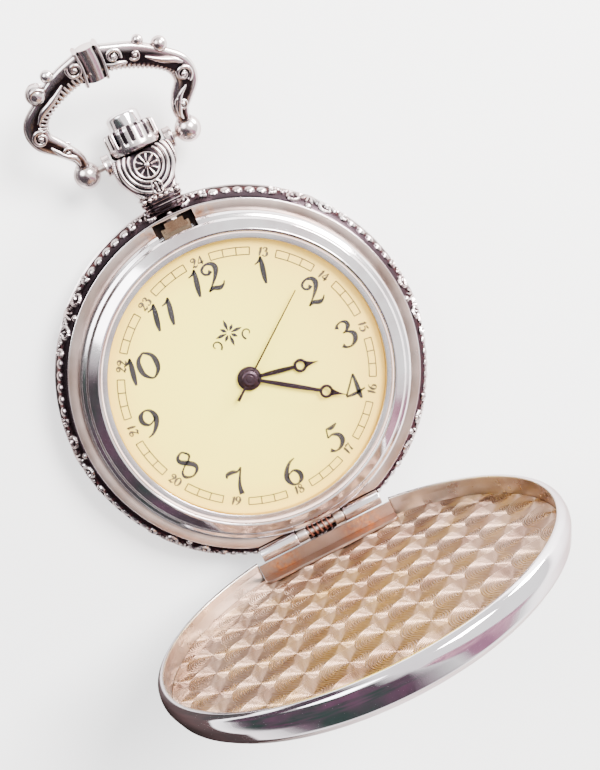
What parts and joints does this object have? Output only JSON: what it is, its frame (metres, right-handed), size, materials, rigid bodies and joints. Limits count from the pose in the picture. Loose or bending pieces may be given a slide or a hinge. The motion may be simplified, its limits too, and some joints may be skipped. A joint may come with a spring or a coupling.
{
  "type": "pocket watch",
  "caption": "Round hunter-case pocket watch with a sprung front lid, push-button crown, swinging scrolled bow, cream dial with Arabic numerals, three hands and a quartz movement.",
  "frame": {"origin": "centre of the flat back face that the watch lies on", "axes": "+Z out of the dial, +Y towards 12 o'clock and the crown, +X towards 3 o'clock; at rest the lid stands open at its stop"},
  "size_m": [0.0476, 0.07, 0.0521],
  "materials": {
    "case_metal": "polished nickel plate, worn",
    "lid_metal": "mirror polished",
    "plate_metal": "engine-turned rings",
    "cast_metal": "cast relief with darkened hollows",
    "steel": "plain steel",
    "spring_steel": "rust-stained spring steel",
    "brass": "satin",
    "crystal_glass": "clear mineral glass",
    "dial_paint": "satin cream with printed numerals",
    "hand_paint": "blue-black gloss",
    "seal": "matt",
    "clear_seal": "milky",
    "holder_plastic": "moulded",
    "board": "green laminate",
    "chip": "epoxy",
    "copper": "enamelled wire"
  },
  "bodies": {
    "case": {"mid_case": "case_metal", "back_cover": "case_metal", "back_gasket": "seal", "bezel": "case_metal", "crystal": "crystal_glass", "crystal_gasket": "clear_seal", "dial": "dial_paint", "pendant_neck": "cast_metal", "pendant_tube": "steel", "hinge_tube_left": "case_metal", "hinge_tube_right": "case_metal", "hinge_pin": "steel", "hinge_spring": "spring_steel", "movement_plate": "brass", "train_bridge": "brass", "bridge_screw_1": "steel", "bridge_screw_2": "steel", "bridge_screw_3": "steel", "movement_holder": "holder_plastic", "stator": "steel", "coil_core": "steel", "coil_winding": "copper", "circuit_board": "board", "quartz_can": "steel", "ic_chip": "chip", "battery_cell": "steel", "battery_clamp": "steel", "clamp_screw": "steel"},
    "lid": {"lid_shell": "lid_metal", "lid_plate": "plate_metal", "lid_hinge_leaf": "plate_metal", "lid_knuckle_left": "case_metal", "lid_knuckle_right": "case_metal"},
    "bow": {"bow": "cast_metal", "bow_pin_left": "steel", "bow_pin_right": "steel"},
    "setting_lever": {"setting_lever": "steel"},
    "crown": {"crown": "case_metal", "setting_stem": "steel", "button_spring": "steel"},
    "button": {"crown_button": "case_metal"},
    "sleeve": {"push_sleeve": "steel"},
    "catch": {"lid_catch": "steel"},
    "clutch": {"sliding_pinion": "steel"},
    "yoke": {"yoke": "steel"},
    "seconds": {"second_hand": "hand_paint", "fourth_wheel": "brass"},
    "minutes": {"minute_hand": "hand_paint", "center_wheel": "brass"},
    "hours": {"hour_hand": "hand_paint", "hour_wheel": "brass"},
    "third": {"third_wheel": "brass"},
    "fifth": {"fifth_wheel": "brass"},
    "rotor": {"rotor": "steel"},
    "motion": {"minute_wheel": "brass"},
    "setting": {"setting_wheel": "steel"}
  },
  "joints": [
    {"name": "lid_hinge", "type": "hinge", "parent": "case", "child": "lid", "pos_m": [0, -0.0211, 0.0072], "axis": [-1, 0, 0], "range_deg": [0, 88], "stiffness_Nm_per_rad": 0.002, "springref_deg": -68.75},
    {"name": "bow_swing", "type": "hinge", "parent": "case", "child": "bow", "pos_m": [0, 0.03, 0.0046], "axis": [1, 0, 0], "range_deg": [-150, 85]},
    {"name": "crown_pull", "type": "slide", "parent": "case", "child": "setting_lever", "axis": [0, 1, 0], "range_m": [0, 0.0012]},
    {"name": "crown_turn", "type": "hinge", "parent": "setting_lever", "child": "crown", "pos_m": [0, 0.0317, 0.0046], "axis": [0, 1, 0], "continuous": true},
    {"name": "button_push", "type": "slide", "parent": "crown", "child": "button", "axis": [0, -1, 0], "range_m": [0, 0.0008], "stiffness_N_per_m": 300, "springref_m": -0.0008},
    {"name": "sleeve_push", "type": "slide", "parent": "case", "child": "sleeve", "axis": [0, -1, 0], "range_m": [0, 0.0008]},
    {"name": "catch_release", "type": "slide", "parent": "case", "child": "catch", "axis": [0, -1, 0], "range_m": [0, 0.0008]},
    {"name": "clutch_slide", "type": "slide", "parent": "crown", "child": "clutch", "axis": [0, -1, 0], "range_m": [0, 0.0016]},
    {"name": "yoke_swing", "type": "hinge", "parent": "case", "child": "yoke", "pos_m": [-0.003, 0.005, 0.0057], "axis": [0, 0, -1], "range_deg": [0, 10]},
    {"name": "seconds_turn", "type": "hinge", "parent": "case", "child": "seconds", "pos_m": [0, 0, 0.008], "axis": [0, 0, -1], "continuous": true},
    {"name": "minutes_turn", "type": "hinge", "parent": "case", "child": "minutes", "pos_m": [0, 0, 0.008], "axis": [0, 0, -1], "continuous": true},
    {"name": "hours_turn", "type": "hinge", "parent": "case", "child": "hours", "pos_m": [0, 0, 0.0077], "axis": [0, 0, -1], "continuous": true},
    {"name": "third_turn", "type": "hinge", "parent": "case", "child": "third", "pos_m": [-0.00219, 0.0026, 0.0038], "axis": [0, 0, -1], "continuous": true},
    {"name": "fifth_turn", "type": "hinge", "parent": "case", "child": "fifth", "pos_m": [0.00319, -0.00116, 0.003], "axis": [0, 0, -1], "continuous": true},
    {"name": "rotor_turn", "type": "hinge", "parent": "case", "child": "rotor", "pos_m": [0.00524, -0.00234, 0.003], "axis": [0, 0, -1], "continuous": true},
    {"name": "motion_turn", "type": "hinge", "parent": "case", "child": "motion", "pos_m": [0.00163, 0.00282, 0.0059], "axis": [0, 0, -1], "continuous": true},
    {"name": "setting_turn", "type": "hinge", "parent": "case", "child": "setting", "pos_m": [0.00196, 0.00655, 0.0059], "axis": [0, 0, -1], "continuous": true}
  ],
  "couplings": [
    {"joint": "sleeve_push", "follows": "button_push", "ratio": 1},
    {"joint": "catch_release", "follows": "button_push", "ratio": 1},
    {"joint": "clutch_slide", "follows": "crown_pull", "ratio": 1.3333},
    {"joint": "yoke_swing", "follows": "crown_pull", "rad_per_m": 141.8},
    {"joint": "third_turn", "follows": "seconds_turn", "ratio": -0.13333},
    {"joint": "minutes_turn", "follows": "seconds_turn", "ratio": 0.016667},
    {"joint": "hours_turn", "follows": "seconds_turn", "ratio": 0.0013889},
    {"joint": "fifth_turn", "follows": "seconds_turn", "ratio": -5},
    {"joint": "rotor_turn", "follows": "seconds_turn", "ratio": 30},
    {"joint": "motion_turn", "follows": "seconds_turn", "ratio": -0.0055556},
    {"joint": "setting_turn", "follows": "seconds_turn", "ratio": 0.010417}
  ]
}
